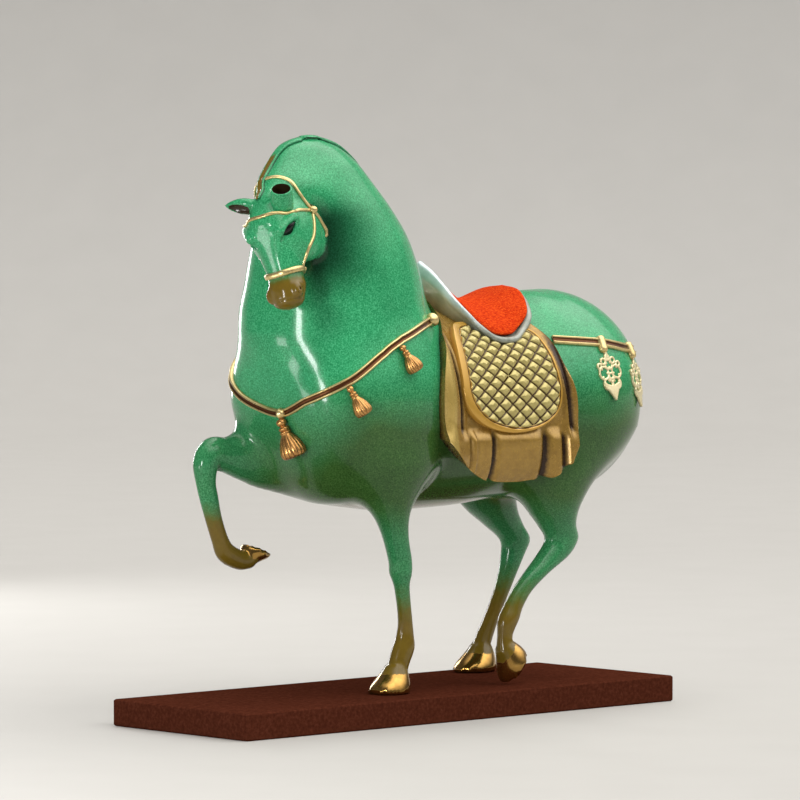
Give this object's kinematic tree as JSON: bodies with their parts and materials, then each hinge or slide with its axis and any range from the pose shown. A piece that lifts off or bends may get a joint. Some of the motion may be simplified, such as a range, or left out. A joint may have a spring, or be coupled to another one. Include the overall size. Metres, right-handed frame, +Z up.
{
  "type": "horse figurine",
  "caption": "Tabletop sculpture of a prancing Tang style horse with one foreleg raised, wearing a quilted saddle, draped cloth and tasselled straps, standing on a slab plinth",
  "frame": {"origin": "middle of the plinth's underside", "axes": "+Z up; the horse looks towards -X along the plinth's length; its left side faces -Y"},
  "size_m": [0.3766, 0.1387, 0.3601],
  "materials": {
    "plinth": "semi gloss, mottled maroon",
    "horse": "glossy speckled green patina, brassy hooves",
    "saddle_cloth": "antique gold, satin",
    "saddle": "pale silver, gloss",
    "saddle_seat": "red, fine fibrous, satin",
    "saddle_flap_left": "antique gold, satin",
    "saddle_flap_right": "antique gold, satin",
    "breast_strap": "copper gold, gloss",
    "crupper_strap": "copper gold, gloss",
    "tassel_front": "copper gold, gloss",
    "tassel_left_1": "copper gold, gloss",
    "tassel_left_2": "copper gold, gloss",
    "tassel_right_1": "copper gold, gloss",
    "tassel_right_2": "copper gold, gloss",
    "pendant_left": "pale brass, gloss",
    "pendant_left_rear": "pale brass, gloss",
    "pendant_right_rear": "pale brass, gloss",
    "pendant_right": "pale brass, gloss"
  },
  "bodies": {
    "root": {"plinth": "plinth", "horse": "horse", "saddle_cloth": "saddle_cloth", "saddle": "saddle", "saddle_seat": "saddle_seat", "saddle_flap_left": "saddle_flap_left", "saddle_flap_right": "saddle_flap_right", "breast_strap": "breast_strap", "crupper_strap": "crupper_strap", "tassel_front": "tassel_front", "tassel_left_1": "tassel_left_1", "tassel_left_2": "tassel_left_2", "tassel_right_1": "tassel_right_1", "tassel_right_2": "tassel_right_2", "pendant_left": "pendant_left", "pendant_left_rear": "pendant_left_rear", "pendant_right_rear": "pendant_right_rear", "pendant_right": "pendant_right"}
  },
  "joints": []
}
